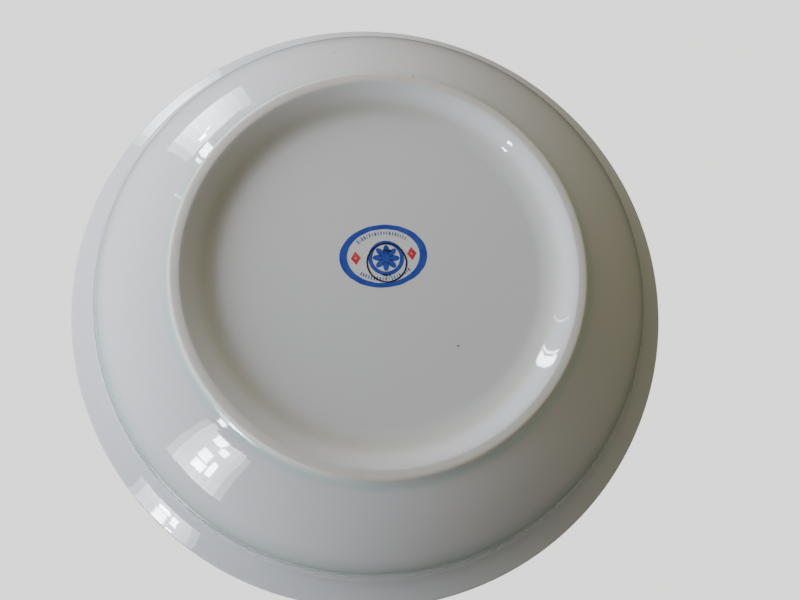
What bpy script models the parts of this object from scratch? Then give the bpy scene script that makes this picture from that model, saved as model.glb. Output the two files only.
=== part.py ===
"""Round porcelain serving bowl, standing on its foot ring.

The bowl is one fired porcelain body under two coats of clear glaze: one runs over
the inside, the rim and the outer wall, the other fills the recess inside the foot
ring. The foot's resting band is bare. A generic printed mark lies on the recess.

Lengths below are in millimetres and are turned into metres when a mesh is made.
The origin is the middle of the foot's resting plane, and +Z is up through the mouth.
"""

import math

import bpy
from mathutils import Vector

MM = 0.001
SIDES = 64  # facets round each turned part

# Overall form
RIM_RADIUS = 114.3
HEIGHT = 48.0
LIP_ROUND = 1.5
BAND_EDGE = (99.8, 29.3)  # crease where the rim band stands proud of the wall
BAND_STEP = 0.6
WALL_FOOT = (69.8, 4.5)  # where the outer wall meets the fillet above the foot

# Foot ring and the recess inside it
FOOT_OUTER = 67.4
FOOT_ROUND = 0.8
FOOT_FLAT_INNER = 64.9  # inner edge of the flat resting band
FOOT_SHOULDER = (60.0, 2.9)  # steepest place of the slope inside the foot
RECESS_HEIGHT = 6.2
RECESS_FLAT = 51.5

# Inside of the bowl
FLOOR_HEIGHT = 10.2
FLOOR_FLAT = 54.0

# Glaze
COAT = 0.35
COAT_GAP = 0.2
BARE_HEIGHT = 1.5  # the outer coat stops this far above the table
BARE_INNER = 64.1  # the recess coat stops this far in from the axis

# Printed mark, seen from below
PRINT_THICKNESS = 0.15
PRINT_GAP = 0.1
MARK_CENTRE = (-0.15, 4.1)
MARK_TURN = math.radians(-6.0)
MARK_OVAL = (14.6, 10.75)
MARK_OVAL_INNER = (12.5, 9.3)
ROSETTE_CENTRE = (-1.0, 3.4)
ROSETTE_RADIUS = 6.0
STAMP_CENTRE = (-1.25, 1.8)
STAMP_RADIUS = 6.8


def clear_scene():
    """Removes the objects of the default scene."""
    for obj in list(bpy.data.objects):
        bpy.data.objects.remove(obj, do_unlink=True)


def make_material(name, colour, roughness, metallic=0.0):
    """A Principled material of one colour."""
    material = bpy.data.materials.new(name)
    material.use_nodes = True
    shader = material.node_tree.nodes["Principled BSDF"]
    shader.inputs["Base Color"].default_value = (*colour, 1.0)
    shader.inputs["Roughness"].default_value = roughness
    shader.inputs["Metallic"].default_value = metallic
    material.diffuse_color = (*colour, 1.0)
    return material


def polar(radius, degrees, centre):
    """A profile point at an angle round a centre, measured from the outward side."""
    a = math.radians(degrees)
    return (centre[0] + radius * math.cos(a), centre[1] + radius * math.sin(a))


def bezier(p0, p1, p2, p3, count):
    """Points along a cubic curve, without its first point."""
    points = []
    for i in range(1, count + 1):
        t = i / count
        s = 1.0 - t
        weights = (s**3, 3 * s * s * t, 3 * s * t * t, t**3)
        points.append(tuple(sum(w * p[k] for w, p in zip(weights, (p0, p1, p2, p3))) for k in (0, 1)))
    return points


def offset(profile, distance):
    """The profile moved towards the clay, with mitred corners; points on the axis stay on it."""
    points = [Vector(p) for p in profile]
    moved = []
    for i, point in enumerate(points):
        before = (point - points[i - 1]).normalized() if i else None
        after = (points[i + 1] - point).normalized() if i < len(points) - 1 else None
        sides = [Vector((d.y, -d.x)) for d in (before, after) if d is not None]
        bisector = sum(sides, Vector((0.0, 0.0))).normalized()
        reach = distance / bisector.dot(sides[0])
        out = point + bisector * reach
        moved.append((0.0 if point.x == 0.0 else out.x, point.y + distance * sides[0].y if point.x == 0.0 else out.y))
    return moved


def inside_profile():
    """Visible surface from the middle of the floor up to the inner side of the lip."""
    floor_end = (FLOOR_FLAT, FLOOR_HEIGHT)
    neck = (96.0, 31.0)
    lip = polar(LIP_ROUND, 115.0, (RIM_RADIUS - LIP_ROUND, HEIGHT - LIP_ROUND))
    profile = [(0.0, FLOOR_HEIGHT), (FLOOR_FLAT / 2, FLOOR_HEIGHT), floor_end]
    profile += bezier(floor_end, (78.0, FLOOR_HEIGHT), (92.9, 21.5), neck, 7)
    profile += bezier(neck, (97.8, 37.5), (103.5, 43.5), lip, 5)
    return profile


def lip_profile():
    """The rounded lip, from its inner side over the top to its underside."""
    centre = (RIM_RADIUS - LIP_ROUND, HEIGHT - LIP_ROUND)
    return [polar(LIP_ROUND, degrees, centre) for degrees in (90.0, 45.0, 0.0, -35.0, -65.0)]


def outside_profile():
    """Visible surface from the lip down the flared band and the wall to the foot's bare edge."""
    lip = lip_profile()[-1]
    edge = (BAND_EDGE[0] + BAND_STEP, BAND_EDGE[1] + 0.3)
    band = bezier(lip, (104.8, 41.5), (102.6, 38.0), edge, 5)
    crease = BAND_EDGE
    wall = bezier(crease, (95.9, 18.8), (82.8, 8.9), WALL_FOOT, 6)
    foot = [(68.4, 3.8), (FOOT_OUTER + 0.15, 2.6), (FOOT_OUTER, BARE_HEIGHT + COAT_GAP)]
    return band + [crease] + wall + foot


def recess_profile():
    """Visible glazed surface of the recess, from near the foot's crest to the axis."""
    flat = (RECESS_FLAT, RECESS_HEIGHT)
    start = (BARE_INNER, 0.06)
    crest = bezier(start, (62.4, 0.25), (61.1, 1.6), FOOT_SHOULDER, 4)
    slope = bezier(FOOT_SHOULDER, (58.4, 4.8), (56.5, RECESS_HEIGHT), flat, 5)
    return [start] + crest + slope + [(0.0, RECESS_HEIGHT)]


def foot_crest():
    """Bare clay of the foot, from its outer side under the crest to its inner side."""
    outer = (FOOT_OUTER - FOOT_ROUND, FOOT_ROUND)
    crest = [(FOOT_OUTER, BARE_HEIGHT), (FOOT_OUTER, FOOT_ROUND)]
    crest += [polar(FOOT_ROUND, degrees, outer) for degrees in (-45.0, -90.0)]
    return crest + [(FOOT_FLAT_INNER, 0.0), (BARE_INNER + 0.28, 0.04), (BARE_INNER + 0.36, 0.58)]


def lathe(name, profile, material):
    """Turns a profile that starts and ends on the axis into a closed body."""
    mesh = bpy.data.meshes.new(name)
    points = [(r * MM, 0.0, z * MM) for r, z in profile]
    mesh.from_pydata(points, [(i, i + 1) for i in range(len(points) - 1)], [])
    obj = bpy.data.objects.new(name, mesh)
    mesh.materials.append(material)
    screw = obj.modifiers.new("Turned", "SCREW")
    screw.axis = "Z"
    screw.angle = math.tau
    screw.steps = SIDES
    screw.render_steps = SIDES
    screw.use_merge_vertices = True
    screw.merge_threshold = 0.00001
    screw.use_smooth_shade = True
    return obj


def place(point, centre, turn=0.0):
    """A point of the mark turned and moved to its place on the recess."""
    x, y = point
    c, s = math.cos(turn), math.sin(turn)
    return (centre[0] + x * c - y * s, centre[1] + x * s + y * c)


def oval(semi, count, start=0.0, span=math.tau):
    """Points on an ellipse; a full turn leaves out the repeated last point."""
    steps = count if span == math.tau else count - 1
    angles = [start + span * i / steps for i in range(count)]
    return [(semi[0] * math.cos(a), semi[1] * math.sin(a)) for a in angles]


def strip_plate(name, outer, inner, top, material, closed=True):
    """A thin flat plate between two matching rows of points."""
    count = len(outer)
    low = top - PRINT_THICKNESS
    verts = [(x * MM, y * MM, z * MM) for z in (top, low) for row in (outer, inner) for x, y in row]
    o_top, i_top, o_low, i_low = (range(k * count, (k + 1) * count) for k in range(4))
    faces = []
    for i in range(count if closed else count - 1):
        j = (i + 1) % count
        faces.append((o_top[i], o_top[j], i_top[j], i_top[i]))
        faces.append((o_low[i], i_low[i], i_low[j], o_low[j]))
        faces.append((o_top[i], o_low[i], o_low[j], o_top[j]))
        faces.append((i_top[j], i_low[j], i_low[i], i_top[i]))
    if not closed:
        e = count - 1
        faces.append((o_top[0], i_top[0], i_low[0], o_low[0]))
        faces.append((i_top[e], o_top[e], o_low[e], i_low[e]))
    return make_plate(name, verts, faces, material)


def fan_plate(name, outline, centre, top, material):
    """A thin flat plate inside an outline that its centre can see all of."""
    count = len(outline)
    low = top - PRINT_THICKNESS
    verts = [(x * MM, y * MM, z * MM) for z in (top, low) for x, y in [*outline, centre]]
    hub_top, hub_low = count, 2 * count + 1
    faces = []
    for i in range(count):
        j = (i + 1) % count
        a, b = i + count + 1, j + count + 1
        faces += [(i, j, hub_top), (b, a, hub_low), (i, a, b, j)]
    return make_plate(name, verts, faces, material)


def make_plate(name, verts, faces, material):
    """A mesh object from points and faces, with its faces turned outwards."""
    mesh = bpy.data.meshes.new(name)
    mesh.from_pydata(verts, [], faces)
    mesh.materials.append(material)
    mesh.validate()
    return bpy.data.objects.new(name, mesh)


def build_body(material):
    """The fired porcelain, set back under the glaze and flush with it at the bare foot."""
    under_glaze = offset(inside_profile() + lip_profile() + outside_profile(), COAT + COAT_GAP)
    under_base = offset(recess_profile(), COAT + COAT_GAP)
    shoulder = [(under_glaze[-1][0], BARE_HEIGHT)]
    return lathe("porcelain_body", under_glaze + shoulder + foot_crest() + under_base, material)


def build_glaze_coat(material):
    """Clear glaze over the inside, the lip, the band and the wall."""
    skin = inside_profile() + lip_profile() + outside_profile()
    return lathe("glaze_coat", skin + offset(skin, COAT)[::-1], material)


def build_base_glaze(material):
    """Clear glaze in the recess inside the foot ring."""
    skin = recess_profile()
    return lathe("base_glaze", offset(skin, COAT)[::-1] + skin, material)


def build_mark(blue, red, black):
    """The printed mark: an oval band round a rosette, two legends, two diamonds and a stamp."""
    first = RECESS_HEIGHT - PRINT_GAP
    second = first - PRINT_THICKNESS - PRINT_GAP

    def on_mark(points):
        return [place(p, MARK_CENTRE, MARK_TURN) for p in points]

    band = strip_plate(
        "oval_band", on_mark(oval(MARK_OVAL, 56)), on_mark(oval(MARK_OVAL_INNER, 56)), first, blue
    )
    legends = []
    for name, middle in (("legend_upper", 90.0), ("legend_lower", 270.0)):
        start, span = math.radians(middle - 48.0), math.radians(96.0)
        outer = on_mark(oval((11.5, 8.4), 15, start, span))
        inner = on_mark(oval((10.6, 7.5), 15, start, span))
        legends.append(strip_plate(name, outer, inner, first, blue, closed=False))

    petals = []
    for i in range(48):
        a = math.tau * i / 48
        r = ROSETTE_RADIUS * (0.9 + 0.1 * math.cos(8 * a))
        petals.append(place((r * math.cos(a), r * math.sin(a)), ROSETTE_CENTRE))
    rosette = fan_plate("rosette", petals, ROSETTE_CENTRE, first, blue)

    diamonds = []
    for name, x in (("diamond_left", 9.2), ("diamond_right", -9.4)):
        corners = [(x + 1.6, 0.0), (x, 2.3), (x - 1.6, 0.0), (x, -2.3)]
        diamonds.append(fan_plate(name, on_mark(corners), place((x, 0.0), MARK_CENTRE, MARK_TURN), first, red))

    ring_out = [place(p, STAMP_CENTRE) for p in oval((STAMP_RADIUS,) * 2, 48)]
    ring_in = [place(p, STAMP_CENTRE) for p in oval((STAMP_RADIUS - 0.45,) * 2, 48)]
    stamp = [strip_plate("stamp_ring", ring_out, ring_in, second, black)]
    for name, y in (("stamp_tick_upper", 4.2), ("stamp_tick_lower", -4.2)):
        centre = (STAMP_CENTRE[0], STAMP_CENTRE[1] + y)
        corners = [place(p, centre) for p in ((1.2, -0.35), (1.2, 0.35), (-1.2, 0.35), (-1.2, -0.35))]
        stamp.append(fan_plate(name, corners, centre, second, black))
    return [band, *legends, rosette, *diamonds, *stamp]


def main():
    """Builds every piece and puts it in the bowl's collection."""
    clear_scene()
    clay = make_material("biscuit_clay", (0.80, 0.74, 0.64), 0.7)
    glaze = make_material("clear_glaze", (0.84, 0.85, 0.84), 0.08)
    base = make_material("base_glaze", (0.80, 0.80, 0.81), 0.12)
    blue = make_material("blue_print", (0.03, 0.08, 0.40), 0.3)
    red = make_material("red_print", (0.60, 0.04, 0.05), 0.3)
    black = make_material("black_print", (0.02, 0.02, 0.03), 0.35)

    collection = bpy.data.collections.new("serving_bowl")
    bpy.context.scene.collection.children.link(collection)
    pieces = [build_body(clay), build_glaze_coat(glaze), build_base_glaze(base)]
    pieces += build_mark(blue, red, black)
    for piece in pieces:
        collection.objects.link(piece)


if __name__ == "__main__":
    main()
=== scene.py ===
"""Looks of a white porcelain serving bowl, standing on its foot ring.

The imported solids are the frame. Each visible piece here stands for one of them: the
bare clay body, the two coats of clear glaze and the plain printed mark under the base.
Lengths in the classes are millimetres, in the frame's own axes, and meshes are metres.
"""

import logging
import math
from dataclasses import dataclass, field
from enum import Enum
from typing import Callable, Sequence

import bpy
from mathutils import Matrix, Vector, noise


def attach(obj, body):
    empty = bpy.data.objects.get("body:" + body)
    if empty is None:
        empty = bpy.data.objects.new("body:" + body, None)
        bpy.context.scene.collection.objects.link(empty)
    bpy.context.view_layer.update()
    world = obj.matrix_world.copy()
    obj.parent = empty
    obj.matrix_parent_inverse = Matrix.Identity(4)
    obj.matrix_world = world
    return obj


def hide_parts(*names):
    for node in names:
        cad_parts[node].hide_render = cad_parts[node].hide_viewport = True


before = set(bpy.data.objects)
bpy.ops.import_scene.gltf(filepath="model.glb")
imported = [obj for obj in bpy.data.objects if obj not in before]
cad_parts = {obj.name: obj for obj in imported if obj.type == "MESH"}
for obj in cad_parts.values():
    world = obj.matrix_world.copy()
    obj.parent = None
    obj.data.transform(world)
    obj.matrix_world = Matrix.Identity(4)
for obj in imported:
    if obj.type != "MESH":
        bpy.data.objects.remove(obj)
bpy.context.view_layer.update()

MM = 0.001
LOG = logging.getLogger("serving_bowl")

Point = tuple[float, float]
Profile = list[Point]
Place = tuple[float, float, float]
Colour = tuple[float, float, float]
Inputs = dict[str | int, object]
Piece = bpy.types.Object
Material = bpy.types.Material
Tree = bpy.types.NodeTree
Node = bpy.types.Node
Socket = bpy.types.NodeSocket


# Profiles


def polar(radius: float, degrees: float, centre: Point) -> Point:
    """A point at an angle above the outward side of a centre."""
    a = math.radians(degrees)
    return (centre[0] + radius * math.cos(a), centre[1] + radius * math.sin(a))


def arc(radius: float, start: float, end: float, centre: Point, count: int) -> Profile:
    """Points along an arc between two angles in degrees, both ends included."""
    step = (end - start) / (count - 1)
    return [polar(radius, start + step * i, centre) for i in range(count)]


def bezier(*ends: Point, count: int) -> Profile:
    """Points along a cubic curve, without its first point.

    Args:
        ends: Start, two handles and end.
        count: Number of points.

    Returns:
        The points in order, the last at the end of the curve.
    """
    points = []
    for i in range(1, count + 1):
        t = i / count
        s = 1.0 - t
        weights = (s**3, 3 * s * s * t, 3 * s * t * t, t**3)
        r, z = (sum(w * p[k] for w, p in zip(weights, ends)) for k in (0, 1))
        points.append((r, z))
    return points


def sides_of(profile: Sequence[Point]) -> list[Vector]:
    """Unit directions pointing from the surface into the clay.

    Args:
        profile: Points with the clay on their right-hand side.

    Returns:
        One direction for each point.
    """
    points = [Vector(p) for p in profile]
    result = []
    for i in range(len(points)):
        along = points[min(i + 1, len(points) - 1)] - points[max(i - 1, 0)]
        result.append(Vector((along.y, -along.x)).normalized())
    return result


def offset(profile: Sequence[Point], distance: float) -> Profile:
    """A profile moved into the clay, with points on the axis kept on it.

    Args:
        profile: Points of the surface.
        distance: How far to move it.

    Returns:
        The moved points.
    """
    moved = []
    for (r, z), side in zip(profile, sides_of(profile)):
        moved.append((0.0 if r == 0.0 else r + side.x * distance, z + side.y * distance))
    return moved


def thinned(profile: Sequence[Point], step: int) -> Profile:
    """Every few points of a profile, always with its two ends."""
    kept = list(profile[::step])
    return kept if (len(profile) - 1) % step == 0 else [*kept, profile[-1]]


# Meshes


@dataclass
class Wobble:
    """The slight unevenness of a fired, glazed surface.

    Attributes:
        depth: Deepest inward movement.
        span: Size of the broad undulations.
        calm: A crisp edge, as (radius, height), near which the surface is even.
        calm_reach: How far from that edge the unevenness comes back.
    """

    depth: float = 0.04
    span: float = 17.0
    calm: Point = (0.0, -100.0)
    calm_reach: float = 6.0

    def at(self, place: Vector) -> float:
        """Inward movement at a place.

        Args:
            place: Place in millimetres.

        Returns:
            Movement in millimetres, from 0 to about the depth.
        """
        broad = noise.noise(place / self.span)
        fine = noise.noise(place / (0.37 * self.span))
        radius = math.hypot(place.x, place.y)
        gap = math.hypot(radius - self.calm[0], place.z - self.calm[1])
        share = min(1.0, gap / self.calm_reach)
        return self.depth * (0.5 + share * share * (0.45 * broad + 0.04 * fine))


def put_in_scene(name: str, data: bpy.types.ID) -> Piece:
    """Makes an object and links it to the scene.

    Args:
        name: Name of the object.
        data: Its mesh, light or camera.

    Returns:
        The object, at the origin.
    """
    obj = bpy.data.objects.new(name, data)
    bpy.context.scene.collection.objects.link(obj)
    return obj


def new_object(
    name: str, verts: Sequence[Vector], faces: Sequence[Sequence[int]], smooth: bool
) -> Piece:
    """Makes a mesh object at the origin.

    Args:
        name: Name of the piece.
        verts: Points in metres.
        faces: Faces as point numbers, turned outwards.
        smooth: Whether its faces are smooth shaded.

    Returns:
        The object, linked to the scene.
    """
    mesh = bpy.data.meshes.new(name)
    mesh.from_pydata([tuple(v) for v in verts], [], faces)
    mesh.polygons.foreach_set("use_smooth", [smooth] * len(mesh.polygons))
    mesh.update()
    return put_in_scene(name, mesh)


def revolve(
    name: str,
    profile: Sequence[Point],
    sides: int,
    wobble: Wobble | None = None,
    moved: int = 0,
) -> Piece:
    """Turns a profile round the axis into a closed surface.

    Args:
        name: Name of the piece.
        profile: Points that start and end on the axis and run down the outer side.
        sides: Number of facets round the axis.
        wobble: Unevenness of the surface, if any.
        moved: How many of the first points the unevenness moves.

    Returns:
        The object.
    """
    clay_side = sides_of(profile)
    verts: list[Vector] = []
    rings: list[list[int]] = []
    for i, (r, z) in enumerate(profile):
        ring = []
        for j in range(1 if r == 0.0 else sides):
            a = math.tau * j / sides
            across = Vector((math.cos(a), math.sin(a), 0.0))
            place = across * r + Vector((0.0, 0.0, z))
            if wobble is not None and i < moved:
                side = across * clay_side[i].x + Vector((0.0, 0.0, clay_side[i].y))
                place += side * wobble.at(place)
                if r == 0.0:
                    place.x = place.y = 0.0
            ring.append(len(verts))
            verts.append(place * MM)
        rings.append(ring)
    faces: list[list[int]] = []
    for upper, lower in zip(rings, rings[1:]):
        for j in range(sides):
            k = (j + 1) % sides
            if len(upper) == 1:
                faces.append([upper[0], lower[j], lower[k]])
            elif len(lower) == 1:
                faces.append([upper[j], lower[0], upper[k]])
            else:
                faces.append([upper[j], lower[j], lower[k], upper[k]])
    return new_object(name, verts, faces, smooth=True)


# Node trees


class TreeBuilder:
    """A node tree being wired up."""

    def __init__(self, tree: Tree) -> None:
        """Holds the tree to build in."""
        self.tree = tree

    def feed(self, node: Node, socket: str | int, value: object) -> None:
        """Links an output to a socket, or sets the socket to a plain value.

        Args:
            node: The node that is fed.
            socket: The input's name or number.
            value: An output of another node, or a plain value.
        """
        if isinstance(value, Socket):
            self.tree.links.new(value, node.inputs[socket])
        else:
            node.inputs[socket].default_value = value

    def add(self, kind: str, inputs: Inputs | None = None, **settings: object) -> Node:
        """Adds a node, sets its properties and feeds its inputs.

        Args:
            kind: The node's type.
            inputs: What its inputs get, by name or number.
            settings: Its properties.

        Returns:
            The node.
        """
        node = self.tree.nodes.new(kind)
        for name, value in settings.items():
            setattr(node, name, value)
        for socket, value in (inputs or {}).items():
            self.feed(node, socket, value)
        return node

    def math(self, operation: str, a: object, b: object = 0.0, clamp: bool = False) -> Socket:
        """A Math node's result."""
        node = self.add("ShaderNodeMath", {0: a, 1: b}, operation=operation, use_clamp=clamp)
        return node.outputs[0]


class Nodes(TreeBuilder):
    """A shader tree, with short calls for the nodes used here."""

    def hypot(self, a: object, b: object) -> Socket:
        """The length of a vector from its two parts."""
        squares = [self.math("POWER", part, 2.0) for part in (a, b)]
        return self.math("SQRT", self.math("ADD", *squares))

    def place(self) -> Socket:
        """The place on the piece, in metres."""
        return self.add("ShaderNodeTexCoord").outputs["Object"]

    def band(self, value: object, low: float, high: float) -> Socket:
        """A smooth step from 0 at low to 1 at high.

        Args:
            value: What the step depends on.
            low: Value at its start.
            high: Value at its end.

        Returns:
            The step.
        """
        inputs = {"Value": value, "From Min": low, "From Max": high}
        node = self.add("ShaderNodeMapRange", inputs, interpolation_type="SMOOTHSTEP")
        return node.outputs["Result"]

    def mix(self, factor: object, a: object, b: object) -> Socket:
        """A colour between two colours.

        Args:
            factor: Share of the second colour.
            a: First colour, or its output.
            b: Second colour, or its output.

        Returns:
            The mixed colour.
        """
        ends = [(*end, 1.0) if isinstance(end, tuple) else end for end in (a, b)]
        inputs = {"Factor": factor, 6: ends[0], 7: ends[1]}
        return self.add("ShaderNodeMix", inputs, data_type="RGBA").outputs[2]

    def noise(self, vector: object, scale: object, detail: float = 2.0) -> Socket:
        """A noise value, for lengths in metres."""
        inputs = {"Vector": vector, "Scale": scale, "Detail": detail}
        return self.add("ShaderNodeTexNoise", inputs).outputs["Fac"]

    def group(self, tree: Tree, **inputs: object) -> Node:
        """Places a shared group with its own values.

        Args:
            tree: The group.
            inputs: Its values, by name.

        Returns:
            The group node.
        """
        node = self.add("ShaderNodeGroup", node_tree=tree)
        for name, value in inputs.items():
            self.feed(node, name.replace("_", " "), value)
        return node


class SharedEffect(Enum):
    """Shader groups that more than one finish uses."""

    SPECKS = "iron_specks"
    GLAZE_SKIN = "glaze_skin"
    INK_GRAIN = "ink_grain"


def start_group(
    name: str, inputs: dict[str, float], outputs: Sequence[str]
) -> tuple[Nodes, Node, Node]:
    """Starts a shader group with named sockets.

    Args:
        name: Name of the group.
        inputs: Input names with their usual values.
        outputs: Output names.

    Returns:
        The tree builder, the input node and the output node.
    """
    tree = bpy.data.node_groups.new(name, "ShaderNodeTree")
    for label, value in inputs.items():
        socket = tree.interface.new_socket(label, in_out="INPUT", socket_type="NodeSocketFloat")
        socket.default_value = value
    for label in outputs:
        tree.interface.new_socket(label, in_out="OUTPUT", socket_type="NodeSocketFloat")
    nodes = Nodes(tree)
    return nodes, nodes.add("NodeGroupInput"), nodes.add("NodeGroupOutput")


def specks_group() -> Tree:
    """Sparse small dark spots, as iron leaves in fired clay.

    Returns:
        A group whose Mask is 1 in a spot.
    """
    nodes, given, result = start_group(
        SharedEffect.SPECKS.value,
        {"Spacing": 120.0, "Size": 0.05, "Share": 0.2},
        ["Mask"],
    )
    grid = {"Vector": nodes.place(), "Scale": given.outputs["Spacing"]}
    cells = nodes.add("ShaderNodeTexVoronoi", grid, feature="F1")
    chance = nodes.add("ShaderNodeSeparateColor", {0: cells.outputs["Color"]})
    chosen = nodes.math("LESS_THAN", chance.outputs[0], given.outputs["Share"])
    larger = nodes.math("ADD", chance.outputs[1], 0.35)
    size = nodes.math("MULTIPLY", given.outputs["Size"], larger)
    reach = nodes.math("DIVIDE", cells.outputs["Distance"], size)
    inside = nodes.math("SUBTRACT", 1.0, reach, clamp=True)
    spot = nodes.math("MULTIPLY", inside, 2.5, clamp=True)
    nodes.feed(result, "Mask", nodes.math("MULTIPLY", spot, chosen))
    return nodes.tree


def glaze_skin_group() -> Tree:
    """The faint unevenness of a glaze that has flowed in firing.

    Returns:
        A group with a Height for a Bump node and a Cloud mask for colour.
    """
    nodes, given, result = start_group(
        SharedEffect.GLAZE_SKIN.value,
        {"Ripple": 90.0, "Peel": 900.0},
        ["Height", "Cloud"],
    )
    place = nodes.place()
    ripple = nodes.noise(place, given.outputs["Ripple"], 1.0)
    peel = nodes.noise(place, given.outputs["Peel"], 2.0)
    height = nodes.math("ADD", ripple, nodes.math("MULTIPLY", peel, 0.05))
    nodes.feed(result, "Height", height)
    nodes.feed(result, "Cloud", nodes.band(nodes.noise(place, 22.0, 3.0), 0.35, 0.7))
    return nodes.tree


def ink_grain_group() -> Tree:
    """The uneven density of a print fired into glaze.

    Returns:
        A group whose Density is 1 where the ink is thick.
    """
    nodes, given, result = start_group(
        SharedEffect.INK_GRAIN.value, {"Grain": 2600.0}, ["Density"]
    )
    place = nodes.place()
    fine = nodes.noise(place, given.outputs["Grain"], 3.0)
    broad = nodes.noise(place, 240.0, 2.0)
    shares = [nodes.math("MULTIPLY", part, share) for part, share in ((fine, 0.7), (broad, 0.5))]
    nodes.feed(result, "Density", nodes.band(nodes.math("ADD", *shares), 0.28, 0.78))
    return nodes.tree


def shared(effect: SharedEffect) -> Tree:
    """The group of a shared effect, built when it is first asked for.

    Args:
        effect: The effect.

    Returns:
        Its group.
    """
    makers: dict[SharedEffect, Callable[[], Tree]] = {
        SharedEffect.SPECKS: specks_group,
        SharedEffect.GLAZE_SKIN: glaze_skin_group,
        SharedEffect.INK_GRAIN: ink_grain_group,
    }
    return bpy.data.node_groups.get(effect.value) or makers[effect]()


def start_material(name: str, roughness: float) -> tuple[Material, Nodes, Node]:
    """Starts a Principled material.

    Args:
        name: Name of the material.
        roughness: Roughness where nothing drives it.

    Returns:
        The material, its tree builder and its Principled node.
    """
    material = bpy.data.materials.new(name)
    material.use_nodes = True
    shader = material.node_tree.nodes["Principled BSDF"]
    shader.inputs["Roughness"].default_value = roughness
    return material, Nodes(material.node_tree), shader


# Finishes


@dataclass(frozen=True)
class Flaw:
    """One small flaw in the glaze, such as a pit or a grain.

    Attributes:
        place: Its middle.
        size: Its radius.
        colour: Its colour.
    """

    place: Place
    size: float
    colour: Colour


@dataclass(frozen=True)
class PoolAndShade:
    """A ring all round the bowl of changed glaze colour: glaze run thick in some rings, painted
    shade in others.

    Attributes:
        radius: Its radius.
        height: Its height.
        reach: How far its colour spreads.
        depth: Share of its colour in its middle.
        colour: Colour in its middle, that of thick glaze in some rings and of painted shade in
            others.
    """

    radius: float
    height: float
    reach: float
    depth: float
    colour: Colour = (0.64, 0.765, 0.725)


@dataclass(frozen=True)
class ClearGlaze:
    """White porcelain seen through clear, faintly green-grey glaze.

    Attributes:
        name: Name of the material.
        white: Colour over thin, even glaze.
        cloudy: Colour of the faint clouds in the glaze.
        pin: Colour of a pinhole's dark bottom.
        roughness: Roughness of the glaze.
        pools_and_shade: Rings all round the bowl where the glaze has run thick, and rings of
            painted shade.
        flaws: Single small flaws.
    """

    name: str
    white: Colour = (0.81, 0.80, 0.812)
    cloudy: Colour = (0.64, 0.765, 0.725)
    pin: Colour = (0.30, 0.26, 0.21)
    roughness: float = 0.035
    pools_and_shade: tuple[PoolAndShade, ...] = ()
    flaws: tuple[Flaw, ...] = ()

    def build(self) -> Material:
        """Builds the material.

        Returns:
            The material.
        """
        material, nodes, shader = start_material(self.name, self.roughness)
        place = nodes.place()
        x, y, z = nodes.add("ShaderNodeSeparateXYZ", {0: place}).outputs
        across = nodes.hypot(x, y)
        skin = nodes.group(shared(SharedEffect.GLAZE_SKIN), Ripple=85.0, Peel=850.0)
        cloud = nodes.math("MULTIPLY", skin.outputs["Cloud"], 0.06)
        colour = nodes.mix(cloud, self.white, self.cloudy)
        # Rings of thick glaze and rings of painted shade alike mix their colour in, strongest at
        # their middle.
        for pool_and_shade in self.pools_and_shade:
            outward = nodes.math("SUBTRACT", across, pool_and_shade.radius * MM)
            upward = nodes.math("SUBTRACT", z, pool_and_shade.height * MM)
            far = nodes.band(nodes.hypot(outward, upward), 0.0, pool_and_shade.reach * MM)
            near = nodes.math("SUBTRACT", 1.0, far, clamp=True)
            colour = nodes.mix(nodes.math("MULTIPLY", near, pool_and_shade.depth), colour, pool_and_shade.colour)
        pins = nodes.group(shared(SharedEffect.SPECKS), Spacing=62.0, Size=0.022, Share=0.12)
        dark = nodes.math("MULTIPLY", pins.outputs["Mask"], 0.75)
        colour = nodes.mix(dark, colour, self.pin)
        for flaw in self.flaws:
            middle = tuple(MM * c for c in flaw.place)
            gap = nodes.add("ShaderNodeVectorMath", {0: place, 1: middle}, operation="DISTANCE")
            far = nodes.band(gap.outputs["Value"], 0.4 * flaw.size * MM, flaw.size * MM)
            colour = nodes.mix(nodes.math("SUBTRACT", 1.0, far), colour, flaw.colour)
        nodes.feed(shader, "Base Color", colour)
        pits = nodes.math("MULTIPLY", pins.outputs["Mask"], 0.6)
        height = nodes.math("SUBTRACT", skin.outputs["Height"], pits)
        relief = {"Strength": 0.07, "Distance": 0.0006, "Height": height}
        nodes.feed(shader, "Normal", nodes.add("ShaderNodeBump", relief).outputs[0])
        shader.inputs["IOR"].default_value = 1.52
        return material


@dataclass(frozen=True)
class BareClay:
    """Unglazed fired clay: cream, matt, with iron specks and rubbed grey patches.

    Attributes:
        name: Name of the material.
        cream: Colour of the clean clay.
        rubbed: Colour where the foot has been rubbed and handled.
        iron: Colour of the iron specks.
    """

    name: str
    cream: Colour = (0.80, 0.765, 0.70)
    rubbed: Colour = (0.74, 0.69, 0.61)
    iron: Colour = (0.20, 0.11, 0.06)

    def build(self) -> Material:
        """Builds the material.

        Returns:
            The material.
        """
        material, nodes, shader = start_material(self.name, 0.62)
        place = nodes.place()
        wear = nodes.band(nodes.noise(place, 55.0, 4.0), 0.42, 0.68)
        colour = nodes.mix(nodes.math("MULTIPLY", wear, 0.8), self.cream, self.rubbed)
        specks = nodes.group(shared(SharedEffect.SPECKS), Spacing=190.0, Size=0.10, Share=0.16)
        colour = nodes.mix(specks.outputs["Mask"], colour, self.iron)
        nodes.feed(shader, "Base Color", colour)
        rough = nodes.math("ADD", 0.48, nodes.math("MULTIPLY", wear, 0.25))
        nodes.feed(shader, "Roughness", rough)
        grain = nodes.noise(place, 3200.0, 4.0)
        relief = {"Strength": 0.35, "Distance": 0.00012, "Height": grain}
        nodes.feed(shader, "Normal", nodes.add("ShaderNodeBump", relief).outputs[0])
        return material


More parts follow.
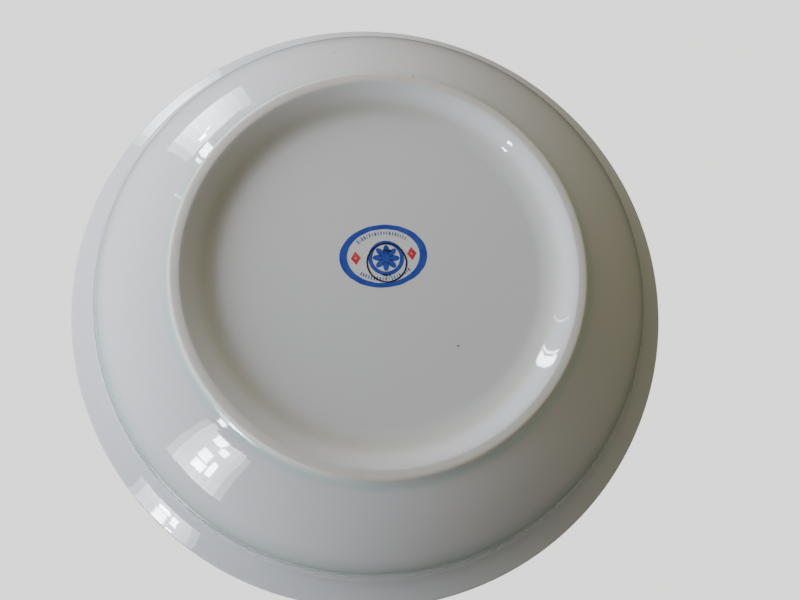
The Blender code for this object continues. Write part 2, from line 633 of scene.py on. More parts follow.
@dataclass(frozen=True)
class FiredInk:
    """Ceramic ink fired into the glaze, slightly uneven and slightly glossy.

    Attributes:
        name: Name of the material.
        full: Colour where the ink is thick.
        thin: Colour where the ink is thin.
        grain: Fineness of the unevenness.
    """

    name: str
    full: Colour
    thin: Colour
    grain: float = 2600.0

    def build(self) -> Material:
        """Builds the material.

        Returns:
            The material.
        """
        material, nodes, shader = start_material(self.name, 0.16)
        ink = nodes.group(shared(SharedEffect.INK_GRAIN), Grain=self.grain)
        nodes.feed(shader, "Base Color", nodes.mix(ink.outputs["Density"], self.thin, self.full))
        return material


# The bowl's turned pieces


@dataclass
class TurnedForm:
    """The shape thrown on the wheel: the visible surfaces of the glaze.

    Attributes:
        rim_radius: Widest radius, at the lip.
        height: Height of the lip above the table.
        lip_round: Radius of the lip's round.
        floor_height: Height of the inside floor.
        floor_flat: Radius of the flat part of the floor.
        band_crease: Corner under the rim band.
        band_step: How far the band stands proud of the wall.
        wall_foot: Where the wall meets the fillet above the foot.
        foot_outer: Outer radius of the foot ring.
        bare_height: Height at which the outer coat stops.
        bare_inner: Radius at which the recess coat starts.
        foot_shoulder: Steepest place on the slope inside the foot.
        recess_height: Height of the recess above the table.
        recess_flat: Radius of the flat part of the recess.
        coat: Thickness of the glaze.
        gap: Space between glaze and clay.
    """

    rim_radius: float = 114.3
    height: float = 48.0
    lip_round: float = 1.5
    floor_height: float = 10.2
    floor_flat: float = 54.0
    band_crease: Point = (99.8, 29.3)
    band_step: float = 0.6
    wall_foot: Point = (69.8, 4.5)
    foot_outer: float = 67.4
    bare_height: float = 1.5
    bare_inner: float = 64.1
    foot_shoulder: Point = (60.2, 2.6)
    recess_height: float = 6.2
    recess_flat: float = 51.5
    coat: float = 0.35
    gap: float = 0.2

    def lip_centre(self) -> Point:
        """Centre of the lip's round."""
        return (self.rim_radius - self.lip_round, self.height - self.lip_round)

    def inside(self) -> Profile:
        """Surface from the middle of the floor up to the lip's inner side.

        Returns:
            The points in order.
        """
        floor_end = (self.floor_flat, self.floor_height)
        neck = (96.0, 31.0)
        lip = polar(self.lip_round, 115.0, self.lip_centre())
        flat = [(self.floor_flat * i / 10, self.floor_height) for i in range(11)]
        wall = bezier(floor_end, (78.0, self.floor_height), (92.9, 21.5), neck, count=30)
        return flat + wall + bezier(neck, (97.8, 37.5), (103.5, 43.5), lip, count=22)

    def lip(self) -> Profile:
        """The round lip, over its top and down to its underside."""
        return arc(self.lip_round, 103.0, -65.0, self.lip_centre(), 15)

    def outside(self) -> Profile:
        """Surface from under the lip down the band and the wall to the foot's bare edge.

        Returns:
            The points in order.
        """
        r, z = self.band_crease
        under_lip = polar(self.lip_round, -65.0, self.lip_centre())
        step = self.band_step
        band = bezier(under_lip, (104.8, 41.5), (102.55, 38.0), (r + step, z + 0.46), count=26)
        under_edge = ((0.03, 0.36), (0.10, 0.31), (0.20, 0.30))
        edge = [(r + step - back, z + up) for back, up in under_edge]
        undercut = ((0.24, 0.33), (0.12, 0.34), (0.03, 0.26), (-0.01, 0.02))
        crease = [(r + out, z + up) for out, up in undercut]
        wall = bezier(crease[-1], (95.9, 18.8), (82.8, 8.9), self.wall_foot, count=44)
        corner = bezier(self.wall_foot, (68.5, 4.06), (67.75, 3.85), (67.56, 3.1), count=9)
        foot, stop = self.foot_outer, self.bare_height
        fillet = [(67.5, 2.65), (foot + 0.06, 2.2)]
        end = [(foot + 0.02, stop + 0.2), (foot - 0.01, stop + 0.03)]
        return band + edge + crease + wall + corner + fillet + end

    def recess(self) -> Profile:
        """Glazed surface inside the foot, from near its crest to the axis.

        Returns:
            The points in order.
        """
        flat = (self.recess_flat, self.recess_height)
        start = (self.bare_inner, 0.06)
        tucked = [(self.bare_inner + 0.22, 0.2), start]
        crest = bezier(start, (63.2, 0.12), (61.5, 1.52), self.foot_shoulder, count=20)
        bend = (56.0, self.recess_height)
        slope = bezier(self.foot_shoulder, (58.0, 4.43), bend, flat, count=24)
        floor = [(self.recess_flat * (1 - i / 10), self.recess_height) for i in range(1, 11)]
        return tucked + crest + slope + floor[:-1] + [(0.0, self.recess_height)]

    def crest(self) -> Profile:
        """Bare clay from the foot's outer side under its crest to its inner side.

        Returns:
            The points in order.
        """
        r, z = self.foot_outer, self.bare_height
        edge = [(r - 0.04, z), (r, z - 0.06)]
        outer = bezier(edge[-1], (r, 0.6), (66.9, 0.02), (65.95, 0.0), count=12)
        rest = (65.6, 0.0)
        inner = bezier(rest, (65.0, 0.0), (64.5, 0.03), (self.bare_inner + 0.02, 0.075), count=8)
        tucked = [(64.02, 0.25), (64.2, 0.6)]
        return edge + outer + [rest] + inner + tucked


@dataclass
class ClayBody:
    """The fired porcelain, bare at the foot's resting band.

    Attributes:
        form: The shape thrown on the wheel.
        finish: Finish of the bare clay.
        sides: Facets round the axis.
    """

    form: TurnedForm
    finish: BareClay = field(default_factory=lambda: BareClay("bare_clay"))
    sides: int = 288

    def build(self) -> list[Piece]:
        """Builds and dresses the body.

        Returns:
            The one piece.
        """
        set_back = self.form.coat + self.form.gap
        skin = self.form.inside() + self.form.lip() + self.form.outside()
        under = offset(thinned(skin, 5), set_back)
        shoulder = [(under[-1][0], self.form.bare_height)]
        below = offset(thinned(self.form.recess(), 4), set_back)
        body = revolve("clay_body", under + shoulder + self.form.crest() + below, self.sides)
        return [dress(body, self.finish.build(), "porcelain_body")]


@dataclass
class GlazeCoats:
    """The two coats of clear glaze.

    Attributes:
        form: The shape thrown on the wheel.
        sides: Facets round the axis.
    """

    form: TurnedForm
    sides: int = 384

    def coat_finish(self) -> ClearGlaze:
        """Finish of the inside and outside coat, with glaze pooled above the foot, painted shade
        on the rim band and in the crease under it, and a painted greenish reflection on the wall
        below.

        Returns:
            The finish.
        """
        r, z = self.form.band_crease
        foot_r, foot_z = self.form.wall_foot
        pools_and_shade = (
            # Painted shade: greys the rim band, which takes less light than the wall.
            PoolAndShade(r + 6.5, z + 11.5, 15.0, 0.50, (0.67, 0.70, 0.72)),
            PoolAndShade(foot_r - 0.6, foot_z - 0.5, 2.6, 0.85),
            # Partly glaze run thick below the crease, partly a painted greenish reflection on the
            # wall.
            PoolAndShade(r - 1.2, z - 2.5, 12.5, 0.80, (0.60, 0.70, 0.655)),
            # Painted shade that darkens the crease under the band to about half, partly thick
            # glaze.
            PoolAndShade(r - 0.2, z - 0.2, 5.2, 0.80, (0.42, 0.50, 0.46)),
            # Plain glaze white on the ledge's underside, which keeps the painted crease shade off
            # it.
            PoolAndShade(r + 0.45, z + 0.3, 0.6, 0.85, (0.81, 0.80, 0.812)),
        )
        grain = Flaw((-15.4, -87.4, 15.9), 0.9, (0.86, 0.86, 0.84))
        return ClearGlaze("outer_glaze", pools_and_shade=pools_and_shade, flaws=(grain,))

    def recess_finish(self) -> ClearGlaze:
        """Finish of the recess coat, with painted shade where the foot's inner slope bends into
        the recess.

        Returns:
            The finish.
        """
        r, z = self.form.foot_shoulder
        pit = Flaw((-24.3, -25.7, self.form.recess_height), 0.45, (0.12, 0.10, 0.08))
        # Painted shade, darker and warm, where the foot's inner slope bends into the recess,
        # partly thick glaze.
        pools_and_shade = (PoolAndShade(r - 3.0, z + 2.6, 5.0, 0.85, (0.67, 0.665, 0.60)),)
        return ClearGlaze("recess_glaze", pools_and_shade=pools_and_shade, flaws=(pit,))

    def build(self) -> list[Piece]:
        """Builds and dresses both coats.

        Returns:
            The outer coat and the recess coat.
        """
        skin = self.form.inside() + self.form.lip() + self.form.outside()
        back = offset(thinned(skin, 6), self.form.coat)[::-1]
        wobble = Wobble(calm=self.form.band_crease)
        coat = revolve("glaze_coat_fired", skin + back, self.sides, wobble, moved=len(skin))
        recess = self.form.recess()
        recess_back = offset(thinned(recess, 6), self.form.coat)[::-1]
        base = revolve("base_glaze_fired", recess_back + recess, self.sides)
        return [
            dress(coat, self.coat_finish().build(), "glaze_coat"),
            dress(base, self.recess_finish().build(), "base_glaze"),
        ]


def dress(piece: Piece, material: Material, stands_for: str) -> Piece:
    """Gives a piece its finish and tells the frame what it stands for.

    Args:
        piece: The finished mesh object.
        material: Its material.
        stands_for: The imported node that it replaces.

    Returns:
        The piece.
    """
    if not piece.data.materials:
        piece.data.materials.append(material)
    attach(piece, "root")
    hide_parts(stands_for)
    LOG.info("%s: %d faces, for %s", piece.name, len(piece.data.polygons), stands_for)
    return piece


# The printed mark


def strip_plate(
    name: str, outer: Sequence[Point], inner: Sequence[Point], top: float, thick: float
) -> Piece:
    """A thin flat ring between two closed rows of points.

    Args:
        name: Name of the piece.
        outer: Outer row, anticlockwise from above.
        inner: Inner row, with as many points.
        top: Height of its upper face.
        thick: Thickness.

    Returns:
        The object.
    """
    count = len(outer)
    both = [*outer, *inner]
    verts = [Vector((x, y, z)) * MM for z in (top, top - thick) for x, y in both]
    a, b, c, d = (k * count for k in range(4))
    faces = []
    for i in range(count):
        j = (i + 1) % count
        faces += [
            (a + i, a + j, b + j, b + i),
            (c + i, d + i, d + j, c + j),
            (a + i, c + i, c + j, a + j),
            (b + j, d + j, d + i, b + i),
        ]
    return new_object(name, verts, faces, smooth=False)


class GeometryTree(TreeBuilder):
    """A Geometry Nodes tree with named size inputs."""

    KINDS = {tuple: "NodeSocketVector", float: "NodeSocketFloat", int: "NodeSocketInt"}

    def __init__(self, name: str, sizes: dict[str, object]) -> None:
        """Starts the tree.

        Args:
            name: Name of the tree.
            sizes: Input names with their usual values.
        """
        super().__init__(bpy.data.node_groups.new(name, "GeometryNodeTree"))
        sockets = self.tree.interface
        sockets.new_socket("Geometry", in_out="INPUT", socket_type="NodeSocketGeometry")
        for label, value in sizes.items():
            kind = self.KINDS[type(value)]
            sockets.new_socket(label, in_out="INPUT", socket_type=kind).default_value = value
        sockets.new_socket("Material", in_out="INPUT", socket_type="NodeSocketMaterial")
        sockets.new_socket("Geometry", in_out="OUTPUT", socket_type="NodeSocketGeometry")
        self.given = self.add("NodeGroupInput")
        self.result = self.add("NodeGroupOutput")

    def vector(self, x: object = 0.0, y: object = 0.0, z: object = 0.0) -> Socket:
        """A vector from three values."""
        return self.add("ShaderNodeCombineXYZ", {0: x, 1: y, 2: z}).outputs[0]

    def close(self, geometry: Socket) -> None:
        """Ends the tree in Realize Instances and Set Material.

        Args:
            geometry: What the tree has made.
        """
        real = self.add("GeometryNodeRealizeInstances", {0: geometry})
        flat = self.add("GeometryNodeSetShadeSmooth", {0: real.outputs[0], "Shade Smooth": False})
        inputs = {"Geometry": flat.outputs[0], "Material": self.given.outputs["Material"]}
        dressed = self.add("GeometryNodeSetMaterial", inputs)
        self.feed(self.result, 0, dressed.outputs[0])

    def make(self, name: str, values: dict[str, object]) -> Piece:
        """Runs the tree once and keeps its result as a plain mesh.

        Args:
            name: Name of the piece.
            values: The inputs' values, by name.

        Returns:
            The object, with no modifier.
        """
        holder = put_in_scene(name + "_maker", bpy.data.meshes.new(name + "_maker"))
        modifier = holder.modifiers.new("Maker", "NODES")
        modifier.node_group = self.tree
        for item in self.tree.interface.items_tree:
            given = item.item_type == "SOCKET" and item.in_out == "INPUT"
            if given and item.name in values:
                modifier[item.identifier] = values[item.name]
        graph = bpy.context.evaluated_depsgraph_get()
        mesh = bpy.data.meshes.new_from_object(holder.evaluated_get(graph))
        holder.modifiers.remove(modifier)
        bpy.data.objects.remove(holder, do_unlink=True)
        mesh.name = name
        return put_in_scene(name, mesh)


def stroke_row_tree() -> GeometryTree:
    """A tree that sets upright strokes side by side along part of an oval.

    Returns:
        The tree.
    """
    tree = GeometryTree(
        "Strokes along an oval",
        {
            "Centre": (0.0, 0.0, 0.0),
            "Turn": 0.0,
            "Half Width": 0.011,
            "Half Height": 0.008,
            "Start": 0.0,
            "Span": 1.5,
            "Count": 12,
            "Stroke": (0.0005, 0.0014, 0.0001),
            "Seed": 3,
        },
    )
    given = tree.given.outputs
    row = tree.add("GeometryNodeMeshLine", {"Count": given["Count"]})
    index = tree.add("GeometryNodeInputIndex").outputs[0]
    last = tree.math("SUBTRACT", given["Count"], 1.0)
    along = tree.math("MULTIPLY", given["Span"], tree.math("DIVIDE", index, last))
    angle = tree.math("ADD", given["Start"], along)
    cosine, sine = tree.math("COSINE", angle), tree.math("SINE", angle)
    x = tree.math("MULTIPLY", given["Half Width"], cosine)
    y = tree.math("MULTIPLY", given["Half Height"], sine)
    spots = {"Geometry": row.outputs[0], "Position": tree.vector(x, y)}
    placed = tree.add("GeometryNodeSetPosition", spots)
    nx = tree.math("DIVIDE", cosine, given["Half Width"])
    ny = tree.math("DIVIDE", sine, given["Half Height"])
    facing = tree.math("SUBTRACT", tree.math("ARCTAN2", ny, nx), math.pi / 2)
    stroke = tree.add("GeometryNodeMeshCube", {"Size": given["Stroke"]})
    sizes = {"Min": (0.6, 0.55, 1.0), "Max": (1.7, 1.0, 1.0), "Seed": given["Seed"]}
    width = tree.add("FunctionNodeRandomValue", sizes, data_type="FLOAT_VECTOR")
    copies = tree.add(
        "GeometryNodeInstanceOnPoints",
        {
            "Points": placed.outputs[0],
            "Instance": stroke.outputs[0],
            "Rotation": tree.vector(0.0, 0.0, facing),
            "Scale": width.outputs[0],
        },
    )
    turned = tree.add(
        "GeometryNodeTransform",
        {
            "Geometry": copies.outputs[0],
            "Translation": given["Centre"],
            "Rotation": tree.vector(0.0, 0.0, given["Turn"]),
        },
    )
    tree.close(turned.outputs[0])
    return tree


def rosette_tree() -> GeometryTree:
    """A tree that sets petals round a middle dot, inside a ring.

    Returns:
        The tree.
    """
    tree = GeometryTree(
        "Petals round a dot",
        {
            "Centre": (0.0, 0.0, 0.0),
            "Radius": 0.006,
            "Ring Width": 0.0011,
            "Thickness": 0.0001,
            "Petals": 8,
        },
    )
    given = tree.given.outputs
    clear = tree.math("SUBTRACT", given["Radius"], given["Ring Width"])
    reach = tree.math("MULTIPLY", clear, 0.56)
    spots = tree.add("GeometryNodeMeshCircle", {"Vertices": given["Petals"], "Radius": reach})
    index = tree.add("GeometryNodeInputIndex").outputs[0]
    facing = tree.math("MULTIPLY", math.tau, tree.math("DIVIDE", index, given["Petals"]))
    wide = tree.math("MULTIPLY", clear, 0.36)
    size = {"Vertices": 28, "Radius": wide, "Depth": given["Thickness"]}
    disc = tree.add("GeometryNodeMeshCylinder", size)
    petals = tree.add(
        "GeometryNodeInstanceOnPoints",
        {
            "Points": spots.outputs[0],
            "Instance": disc.outputs[0],
            "Rotation": tree.vector(0.0, 0.0, facing),
            "Scale": tree.vector(1.12, 0.60, 1.0),
        },
    )
    wide = tree.math("MULTIPLY", clear, 0.3)
    deep = tree.math("MULTIPLY", given["Thickness"], 1.5)
    dot = tree.add("GeometryNodeMeshCylinder", {"Vertices": 32, "Radius": wide, "Depth": deep})
    half = tree.math("MULTIPLY", given["Ring Width"], 0.5)
    middle = tree.math("SUBTRACT", given["Radius"], half)
    path = tree.add("GeometryNodeCurvePrimitiveCircle", {"Resolution": 96, "Radius": middle})
    size = {"Width": given["Ring Width"], "Height": given["Thickness"]}
    section = tree.add("GeometryNodeCurvePrimitiveQuadrilateral", size)
    curves = {"Curve": path.outputs[0], "Profile Curve": section.outputs[0]}
    ring = tree.add("GeometryNodeCurveToMesh", curves)
    joined = tree.add("GeometryNodeJoinGeometry")
    for part in (petals, dot, ring):
        tree.feed(joined, 0, part.outputs[0])
    whole = {"Geometry": joined.outputs[0], "Translation": given["Centre"]}
    moved = tree.add("GeometryNodeTransform", whole)
    tree.close(moved.outputs[0])
    return tree


def uneven_oval(
    half: Point, count: int, unevenness: float, fineness: float, seed: float
) -> list[Point]:
    """Points on an oval whose printed edge is slightly uneven.

    Args:
        half: Half width and half height.
        count: Number of points.
        unevenness: Most that a point is off the oval.
        fineness: Fineness of the unevenness.
        seed: Picks the pattern.

    Returns:
        The points, round a centre at zero.
    """
    row = []
    for i in range(count):
        a = math.tau * i / count
        cosine, sine = math.cos(a), math.sin(a)
        off = unevenness * noise.noise(Vector((fineness * cosine, fineness * sine, seed)))
        row.append(((half[0] + off) * cosine, (half[1] + off) * sine))
    return row


@dataclass(frozen=True)
class StrokeRow:
    """A row of plain strokes along part of an oval, in the place of lettering.

    Attributes:
        stands_for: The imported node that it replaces.
        oval: Half width and half height of the oval.
        middle: Angle of the row's middle, in degrees.
        span: Angle that the row covers, in degrees.
        count: Number of strokes.
        stroke: Width and height of a stroke.
        seed: Picks the strokes' sizes.
    """

    stands_for: str
    oval: Point
    middle: float
    span: float
    count: int
    stroke: Point
    seed: int


@dataclass
class PrintedMark:
    """A plain printed mark under the base: an oval band, strokes, a rosette and a stamp.

    Attributes:
        centre: Middle of the oval band.
        turn: Turn of the oval band, in degrees.
        oval: Outer half width and half height of the band.
        oval_inner: Inner half width and half height of the band.
        rosette_centre: Middle of the rosette.
        rosette_radius: Outer radius of the rosette's ring.
        stamp_centre: Middle of the stamped ring.
        stamp_radius: Outer radius of the stamped ring.
        surface: Height of the glaze that the mark lies on.
        ink: Thickness of the ink.
        legends: The rows of strokes inside the oval band.
        ticks: The rows of strokes inside the stamped ring.
        blue: Ink of the oval band, the legends and the rosette.
        red: Ink of the diamonds.
        black: Ink of the stamp.
    """

    centre: Point = (-0.15, 4.1)
    turn: float = -6.0
    oval: Point = (14.55, 10.7)
    oval_inner: Point = (12.05, 9.15)
    rosette_centre: Point = (-1.0, 3.4)
    rosette_radius: float = 5.9
    stamp_centre: Point = (-1.25, 1.8)
    stamp_radius: float = 6.75
    surface: float = 6.2
    ink: float = 0.03
    legends: tuple[StrokeRow, ...] = (
        StrokeRow("legend_upper", (10.75, 7.8), 90.0, 94.0, 19, (0.28, 1.5), 4),
        StrokeRow("legend_lower", (10.75, 7.8), 270.0, 94.0, 19, (0.28, 1.5), 9),
    )
    ticks: tuple[StrokeRow, ...] = (
        StrokeRow("stamp_tick_upper", (4.2, 4.2), 90.0, 26.0, 3, (0.6, 0.8), 7),
        StrokeRow("stamp_tick_lower", (4.2, 4.2), 270.0, 26.0, 3, (0.6, 0.8), 7),
    )
    blue: FiredInk = FiredInk("blue_ink", (0.035, 0.07, 0.40), (0.08, 0.14, 0.52))
    red: FiredInk = FiredInk("red_ink", (0.62, 0.03, 0.05), (0.75, 0.14, 0.15))
    black: FiredInk = FiredInk("black_ink", (0.012, 0.013, 0.02), (0.05, 0.055, 0.08), 3400.0)

    def place(self, point: Point) -> Point:
        """A point of the oval band turned and moved to its place.

        Args:
            point: The point before the turn.

        Returns:
            The placed point.
        """
        a = math.radians(self.turn)
        x, y = point
        return (
            self.centre[0] + x * math.cos(a) - y * math.sin(a),
            self.centre[1] + x * math.sin(a) + y * math.cos(a),
        )

    def centred(self, point: Point, top: float) -> Place:
        """The middle of a piece of ink, in metres, for its upper face at a height."""
        return (point[0] * MM, point[1] * MM, (top - self.ink / 2) * MM)

    def build(self) -> list[Piece]:
        """Builds and dresses every piece of the mark.

        Returns:
            The pieces.
        """
        blue, red, black = (ink.build() for ink in (self.blue, self.red, self.black))
        tree = stroke_row_tree()
        top = self.surface - 0.02
        over = top - self.ink - 0.01
        band = self.build_band(top, blue)
        middle = self.centred(self.centre, top)
        legends = [
            self.build_row(tree, row, middle, self.turn, blue)
            for row in self.legends
        ]
        rosette = self.build_rosette(top, blue)
        diamonds = self.build_diamonds(top, red)
        ring = self.build_stamp(over, black)
        middle = self.centred(self.stamp_centre, over)
        ticks = [
            self.build_row(tree, row, middle, 0.0, black) for row in self.ticks
        ]
        return [band, *legends, rosette, *diamonds, ring, *ticks]

    def build_band(self, top: float, material: Material) -> Piece:
        """The oval band.

        Args:
            top: Height of its upper face.
            material: Its ink.

        Returns:
            The piece.
        """
        rows = []
        for half, seed in ((self.oval, 1.0), (self.oval_inner, 2.0)):
            rows.append([self.place(point) for point in uneven_oval(half, 180, 0.12, 5.0, seed)])
        band = strip_plate("oval_band_print", *rows, top, self.ink)
        return dress(band, material, "oval_band")

    def build_row(
        self,
        tree: GeometryTree,
        row: StrokeRow,
        centre: Place,
        turn: float,
        material: Material,
    ) -> Piece:
        """One row of strokes.

        Args:
            tree: The tree that makes rows.
            row: What the row is like.
            centre: Middle of its oval, in metres.
            turn: Turn of its oval, in degrees.
            material: Its ink.

        Returns:
            The piece.
        """
        values = {
            "Centre": centre,
            "Turn": math.radians(turn),
            "Half Width": row.oval[0] * MM,
            "Half Height": row.oval[1] * MM,
            "Start": math.radians(row.middle - row.span / 2),
            "Span": math.radians(row.span),
            "Count": row.count,
            "Stroke": (row.stroke[0] * MM, row.stroke[1] * MM, self.ink * MM),
            "Seed": row.seed,
            "Material": material,
        }
        piece = tree.make(row.stands_for + "_strokes", values)
        return dress(piece, material, row.stands_for)

    def build_rosette(self, top: float, material: Material) -> Piece:
        """The rosette in the middle.

        Args:
            top: Height of its upper face.
            material: Its ink.

        Returns:
            The piece.
        """
        values = {
            "Centre": self.centred(self.rosette_centre, top),
            "Radius": self.rosette_radius * MM,
            "Ring Width": 1.3 * MM,
            "Thickness": self.ink * MM,
            "Petals": 8,
            "Material": material,
        }
        piece = rosette_tree().make("rosette_petals", values)
        return dress(piece, material, "rosette")

    def build_diamonds(self, top: float, material: Material) -> list[Piece]:
        """The two red diamonds, each with a bare middle.

        Args:
            top: Height of their upper faces.
            material: Their ink.

        Returns:
            The pieces.
        """
        corners = ((1, 0), (0, 1), (-1, 0), (0, -1))
        pieces = []
        for name, x in (("diamond_left", 9.2), ("diamond_right", -9.4)):
            rows = []
            for share in (1.0, 0.22):
                wide, tall = 1.6 * share, 2.3 * share
                rows.append([self.place((x + wide * c, tall * s)) for c, s in corners])
            piece = strip_plate(name + "_print", *rows, top, self.ink)
            pieces.append(dress(piece, material, name))
        return pieces

    def build_stamp(self, top: float, material: Material) -> Piece:
        """The thin stamped ring.

        Args:
            top: Height of its upper face.
            material: Its ink.

        Returns:
            The piece.
        """
        x, y = self.stamp_centre
        rings = []
        for radius in (self.stamp_radius, self.stamp_radius - 0.5):
            row = uneven_oval((radius, radius), 128, 0.06, 4.0, radius)
            rings.append([(x + right, y + up) for right, up in row])
        ring = strip_plate("stamp_ring_print", *rings, top, self.ink)
        return dress(ring, material, "stamp_ring")


# The studio


@dataclass(frozen=True)
class Pane:
    """A bright rectangle seen from the bowl, such as a window or a pane in it.

    Attributes:
        name: Name of the light.
        bearing: Angle round the bowl from +X towards -Y, in degrees.
        rise: Angle below the table, in degrees, towards the side that the foot faces.
        width: Angular width in degrees.
        height: Angular height in degrees.
        glow: Radiance.
        colour: Colour of the light.
        seen: Whether it shows in reflections only, instead of giving soft light only.
        distance: Distance from the bowl in metres.
    """

    name: str
    bearing: float
    rise: float
    width: float
    height: float
    glow: float
    colour: Colour = (0.86, 0.93, 1.0)
    seen: bool = True
    distance: float = 1.6

    def build(self, target: Vector) -> None:
        """Hangs the light at its distance.

        Args:
            target: The point that it faces.
        """
        b, e = math.radians(self.bearing), math.radians(self.rise)
        out = Vector((math.cos(b) * math.cos(e), -math.sin(b) * math.cos(e), -math.sin(e)))
        light = bpy.data.lights.new(self.name, "AREA")
        light.shape = "RECTANGLE"
        light.size = 2 * self.distance * math.tan(math.radians(self.width / 2))
        light.size_y = 2 * self.distance * math.tan(math.radians(self.height / 2))
        light.color = self.colour
        light.energy = self.glow * math.pi * light.size * light.size_y
        obj = put_in_scene(self.name, light)
        obj.location = target + out * self.distance
        obj.rotation_mode = "QUATERNION"
        obj.rotation_quaternion = (-out).to_track_quat("-Z", "Y")
        obj.visible_glossy = self.seen
        obj.visible_diffuse = not self.seen
        obj.visible_camera = False


@dataclass(frozen=True)
class Curtain(Pane):
    """A net curtain in a window, bright in folds and dimmer towards its sides.

    Attributes:
        seed: Picks the pattern of the folds.
        folds: Number of folds.
    """

    seed: float = 0.0
    folds: int = 9

    def build(self, target: Vector) -> None:
        """Hangs the folds, side by side.

        Args:
            target: The point that they face.
        """
        width = 0.97 * (self.width / self.folds)
        for i in range(self.folds):
            share = (i + 0.5) / self.folds
            chance = noise.noise(Vector((2.7 * i, self.seed, 0.0)))
            glow = self.glow * math.sin(math.pi * share) ** 0.7 * (0.85 + 0.5 * chance)
            bearing = self.bearing + (share - 0.5) * self.width
            rise = self.rise + 2.0 * chance
            height = self.height * (0.93 + 0.14 * chance)
            Pane(f"{self.name}_{i}", bearing, rise, width, height, glow).build(target)


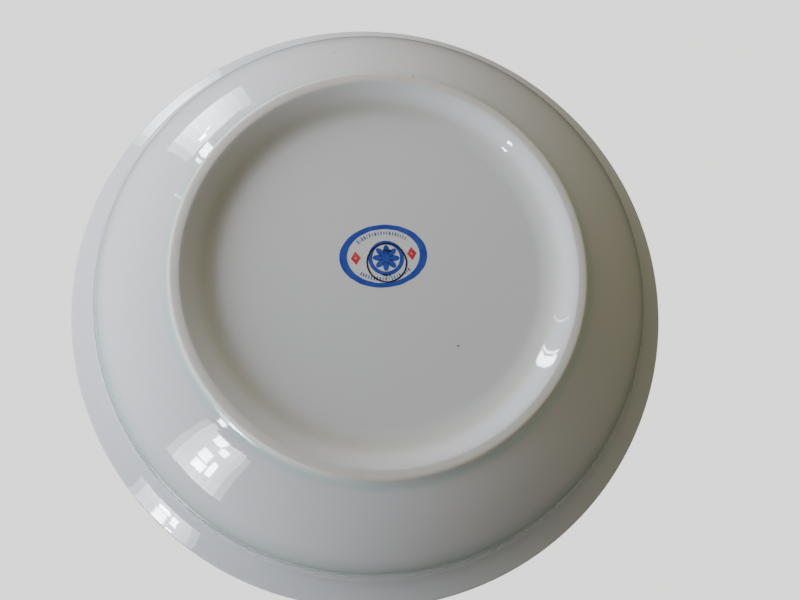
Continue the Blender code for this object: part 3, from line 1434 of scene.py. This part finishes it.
@dataclass
class Studio:
    """The camera, the pale floor and dome, the windows and the soft fill.

    Attributes:
        camera_at: Camera place in millimetres, below the bowl.
        look: Direction of view.
        top_of_picture: Direction that points up in the picture.
        lens: Focal length in millimetres on a 36 mm wide sensor.
        board_colour: Colour of the floor and of the dome's glow.
        fill: Colour of the dim light from every side.
        fill_glow: Radiance of that light.
        curtains: Net curtains, which show in reflections.
        panes: Bright panes, which show in reflections.
        soft: Soft lights, which give diffuse light only.
    """

    camera_at: Place = (12.1, -50.9, -191.8)
    look: Place = (-0.08675, 0.19818, 0.97632)
    top_of_picture: Place = (-0.009, 1.0, 0.0)
    lens: float = 28.0
    board_colour: Colour = (0.80, 0.80, 0.79)
    fill: Colour = (1.0, 0.94, 0.82)
    fill_glow: float = 0.03
    curtains: tuple[Curtain, ...] = (
        Curtain("curtain_low", 41.2, 17.5, 18.5, 43.0, 26.0, seed=1.0),
        Curtain("curtain_high", -52.0, 8.0, 21.0, 25.0, 27.0, seed=5.0),
    )
    panes: tuple[Pane, ...] = (
        Pane("pane_low_tall", 40.7, 10.4, 3.5, 7.4, 110.0),
        Pane("pane_low_middle", 40.2, 19.4, 3.2, 8.0, 90.0),
        Pane("pane_low_narrow", 43.95, 14.5, 1.6, 12.0, 110.0),
        Pane("pane_low_upper", 39.8, 33.5, 3.2, 6.0, 100.0),
        Pane("pane_low_side", 43.2, 29.5, 2.3, 4.6, 90.0),
        Pane("pane_low_top", 35.0, 43.0, 1.8, 2.6, 110.0),
        Pane("pane_high", -48.6, 15.5, 2.0, 2.4, 110.0),
        Pane("pane_high_small", -50.9, 13.0, 1.1, 1.5, 90.0),
        Pane("pane_high_upper", -47.2, 28.5, 3.0, 13.0, 85.0),
        Pane("pane_high_edge", -44.2, 29.5, 0.7, 11.0, 70.0),
        Pane("pane_high_side", -34.0, 31.0, 0.6, 11.0, 15.0),
    )
    soft: tuple[Pane, ...] = (
        Pane("soft_left", 0.0, 17.5, 40.0, 27.0, 12.0, (0.835, 0.90, 1.0), False, 0.6),
        Pane("soft_low", 41.0, 20.0, 44.0, 34.0, 1.15, (1.0, 0.98, 0.97), False, 0.9),
        Pane("soft_high", -58.0, 19.0, 50.0, 30.0, 3.9, (1.0, 0.98, 1.0), False, 0.32),
        Pane("soft_warm", -150.0, 33.0, 60.0, 36.0, 1.05, (1.0, 0.935, 0.60), False, 0.7),
        Pane("soft_near", 75.0, 6.0, 36.0, 14.0, 2.7, (0.98, 1.0, 0.99), False, 1.2),
        Pane("soft_top", 115.0, -70.0, 32.0, 32.0, 19.0, (1.0, 0.99, 0.97), False, 1.5),
    )

    def build(self) -> None:
        """Builds everything round the bowl."""
        self.build_camera()
        self.build_floor()
        self.build_dome()
        self.build_world()
        target = Vector((0.0, 0.0, 0.02))
        for light in (*self.curtains, *self.panes, *self.soft):
            light.build(target)

    def build_camera(self) -> None:
        """Sets the camera under the bowl, looking up at its foot."""
        data = bpy.data.cameras.new("view")
        data.lens = self.lens
        data.sensor_width = 36.0
        data.clip_start = 0.005
        camera = put_in_scene("view", data)
        ahead = Vector(self.look).normalized()
        hint = Vector(self.top_of_picture)
        up = (hint - ahead * hint.dot(ahead)).normalized()
        right = ahead.cross(up)
        turn = Matrix((right, up, -ahead)).transposed()
        camera.matrix_world = Matrix.Translation(Vector(self.camera_at) * MM) @ turn.to_4x4()
        bpy.context.scene.camera = camera

    def board_material(
        self,
        name: str,
        glow: float,
        lit: float = 0.0,
        fade: Point | None = None,
        shade: Point | None = None,
    ) -> Material:
        """A pale board that shows only on its front.

        Args:
            name: Name of the material.
            glow: Soft glow that keeps its shade pale.
            lit: How much of the light that falls on it shows.
            fade: Radii in metres between which the board fades out, if it does.
            shade: Radii in metres between which the glow comes up out of a painted contact
                shadow, if there is one.

        Returns:
            The material.
        """
        material, nodes, shader = start_material(name, 0.9)
        shader.inputs["Base Color"].default_value = (*(lit * c for c in self.board_colour), 1.0)
        shader.inputs["Specular IOR Level"].default_value = 0.0
        shader.inputs["Emission Color"].default_value = (*self.board_colour, 1.0)
        shader.inputs["Emission Strength"].default_value = glow
        hidden = nodes.add("ShaderNodeNewGeometry").outputs["Backfacing"]
        far = nodes.add("ShaderNodeVectorMath", {0: nodes.place()}, operation="LENGTH")
        if fade is not None:
            gone = nodes.band(far.outputs["Value"], *fade)
            hidden = nodes.math("MAXIMUM", hidden, gone)
        # Painted contact shadow: the glow is dimmed near the middle, under and round the foot.
        if shade is not None:
            risen = nodes.band(far.outputs["Value"], *shade)
            nodes.feed(shader, "Emission Strength", nodes.math("MULTIPLY", glow, risen))
        clear = nodes.add("ShaderNodeBsdfTransparent")
        layers = {0: hidden, 1: shader.outputs[0], 2: clear.outputs[0]}
        blend = nodes.add("ShaderNodeMixShader", layers)
        output = next(n for n in nodes.tree.nodes if n.type == "OUTPUT_MATERIAL")
        nodes.feed(output, "Surface", blend.outputs[0])
        return material

    def build_floor(self) -> None:
        """Lays the floor just under the foot, with its front upwards and a painted contact shadow
        round the foot.
        """
        half, height = 1.6, -0.0002
        ways = ((-1, -1), (1, -1), (1, 1), (-1, 1))
        corners = [Vector((x * half, y * half, height)) for x, y in ways]
        floor = new_object("floor", corners, [(0, 1, 2, 3)], smooth=False)
        material = self.board_material("floor_board", 0.5, 0.85, (0.45, 1.5), (0.05, 0.15))
        self.set_aside(floor, material)

    def build_dome(self) -> None:
        """Puts a wide pale dome all round, turned inwards."""
        radius = 4000.0
        turned = arc(radius, -90.0, 90.0, (0.0, 0.0), 33)
        turned[0], turned[-1] = (0.0, -radius), (0.0, radius)
        dome = revolve("dome", turned, 64)
        self.set_aside(dome, self.board_material("dome_board", 2.12))

    def set_aside(self, board: Piece, material: Material) -> None:
        """Makes a board part of the stage, seen by the camera and by nothing else.

        Args:
            board: The board.
            material: Its material.
        """
        board.data.materials.append(material)
        for path in ("diffuse", "glossy", "transmission", "shadow", "volume_scatter"):
            setattr(board, "visible_" + path, False)

    def build_world(self) -> None:
        """A dim warm fill from every side."""
        world = bpy.data.worlds.new("soft_fill")
        world.use_nodes = True
        background = world.node_tree.nodes["Background"]
        background.inputs["Color"].default_value = (*self.fill, 1.0)
        background.inputs["Strength"].default_value = self.fill_glow
        bpy.context.scene.world = world


def main() -> None:
    """Builds the bowl and the studio round it."""
    logging.basicConfig(level=logging.INFO, format="%(name)s: %(message)s")
    form = TurnedForm()
    Studio().build()
    parts = (ClayBody(form), GlazeCoats(form), PrintedMark())
    pieces = [piece for part in parts for piece in part.build()]
    LOG.info("%d pieces", len(pieces))
    bpy.context.view_layer.update()


if __name__ == "__main__":
    main()
